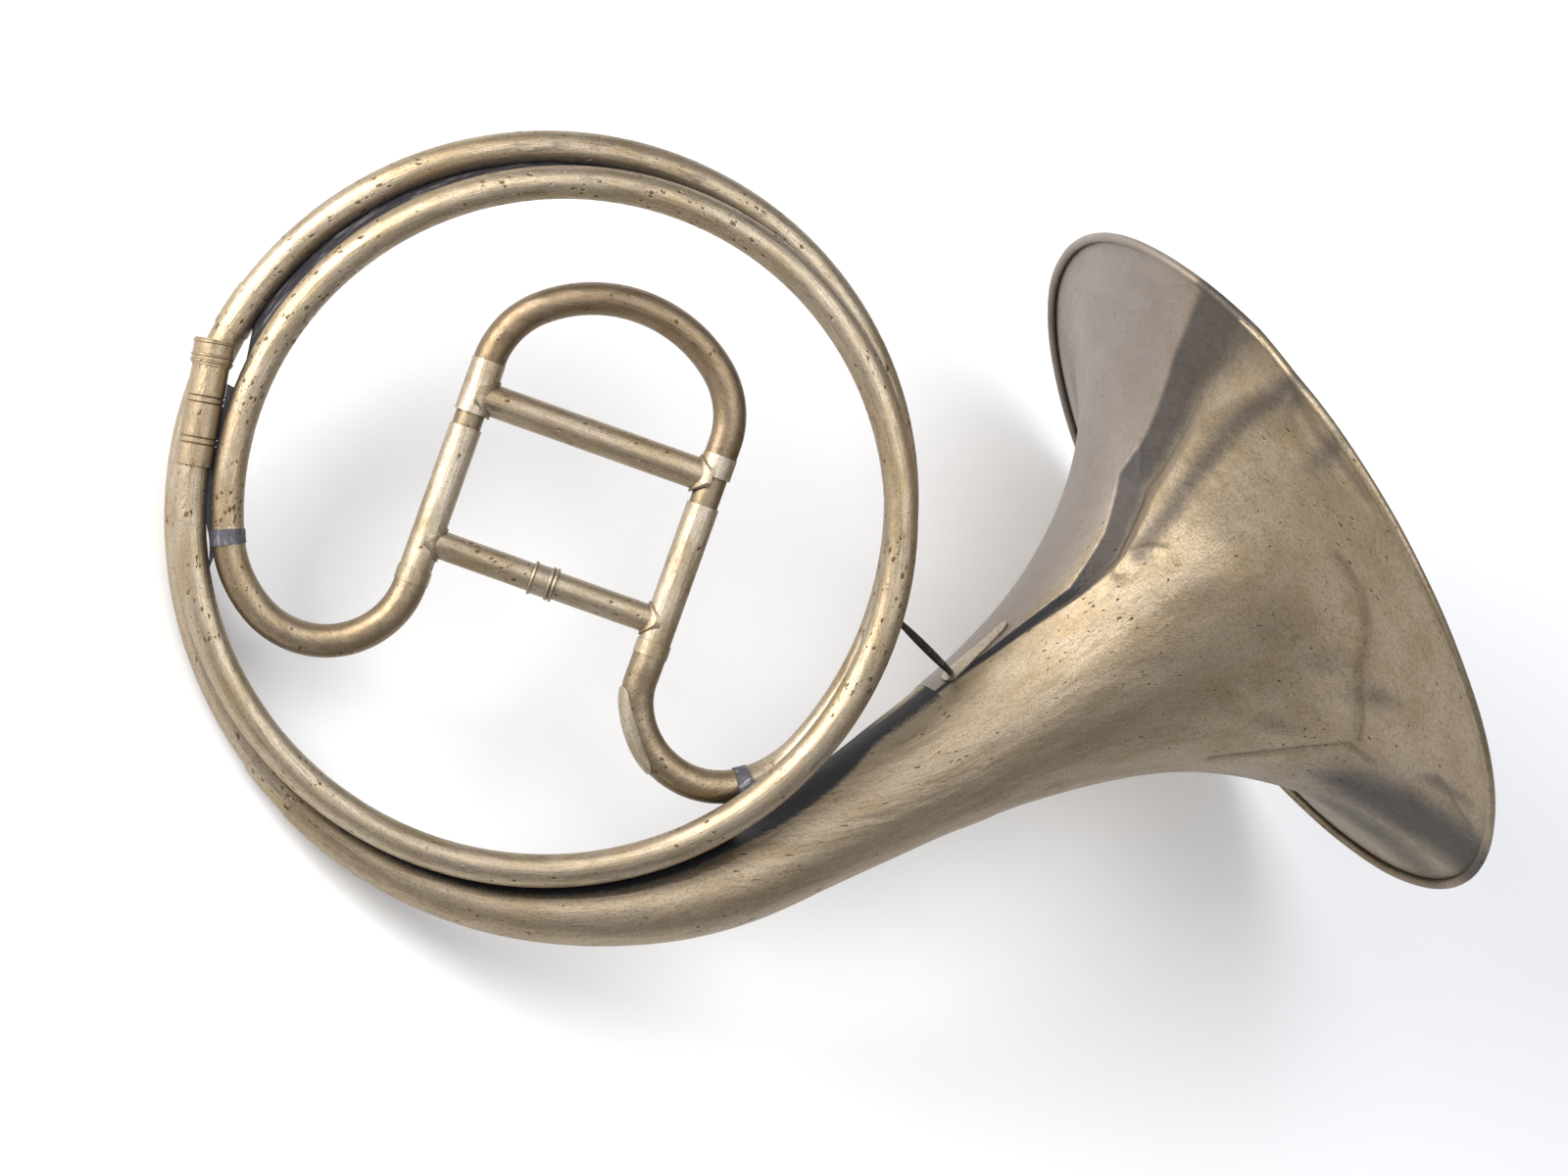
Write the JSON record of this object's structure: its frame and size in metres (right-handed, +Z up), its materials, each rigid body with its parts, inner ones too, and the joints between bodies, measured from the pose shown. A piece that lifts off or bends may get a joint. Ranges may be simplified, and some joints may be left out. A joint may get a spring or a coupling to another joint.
{
  "type": "natural french horn",
  "caption": "Valveless french horn: coiled tube in two turns, receiver for crooks, sliding tuning bow inside the hoop, and a wide flared bell.",
  "frame": {"origin": "middle of the footprint, on the surface that the horn lies on", "axes": "+Z up, away from the surface; +X from the hoop towards the bell; +Y towards the side of the hoop that the tuning slide pulls out to. The horn lies at rest on its bell rim and on the far side of the hoop."},
  "size_m": [0.4975, 0.3128, 0.288],
  "materials": {
    "bell_brass": "hammered sheet brass, dull, dented",
    "ferrule_brass": "handled brass, paler",
    "fitting_brass": "worn cast brass",
    "inner_leg_brass": "dark tarnished brass",
    "iron": "dark iron wire",
    "sleeve_brass": "dull brass",
    "solder": "blackened soft solder",
    "tube_brass": "old drawn brass tube, dull and pitted"
  },
  "bodies": {
    "horn_body": {"receiver_socket": "fitting_brass", "receiver_collar": "ferrule_brass", "front_turn_tube": "tube_brass", "left_gooseneck_band": "sleeve_brass", "left_gooseneck": "tube_brass", "left_outer_leg": "tube_brass", "left_leg_ring": "ferrule_brass", "right_outer_leg": "tube_brass", "right_leg_ring": "ferrule_brass", "fixed_stay_left_half": "fitting_brass", "fixed_stay_right_half": "fitting_brass", "fixed_stay_ferrule": "ferrule_brass", "fixed_stay_left_saddle": "fitting_brass", "fixed_stay_right_saddle": "fitting_brass", "right_gooseneck": "tube_brass", "gooseneck_guard_plate": "fitting_brass", "right_gooseneck_band": "sleeve_brass", "back_turn_upper_tube": "tube_brass", "back_turn_ferrule": "ferrule_brass", "back_turn_lower_tube": "tube_brass", "bell_sleeve": "sleeve_brass", "bell_tail": "bell_brass", "bell_flare": "bell_brass", "bell_rim_wire": "iron", "bell_stay_rod": "iron", "bell_stay_plate": "fitting_brass", "bell_stay_hoop_pad": "fitting_brass", "receiver_tie": "solder", "upper_turn_web": "solder", "lower_turn_web": "solder", "left_turn_web": "solder", "turn_tie_upper": "solder", "turn_tie_lower": "solder"},
    "tuning_slide": {"slide_bow": "tube_brass", "slide_left_ferrule": "ferrule_brass", "slide_right_ferrule": "ferrule_brass", "slide_left_inner_leg": "inner_leg_brass", "slide_right_inner_leg": "inner_leg_brass", "slide_stay": "fitting_brass", "slide_stay_left_saddle": "fitting_brass", "slide_stay_right_saddle": "fitting_brass"}
  },
  "joints": [
    {"name": "tuning_slide_pull", "type": "slide", "parent": "horn_body", "child": "tuning_slide", "axis": [0.2928, 0.8843, 0.3637], "range_m": [-0.0054, 0.022]}
  ]
}
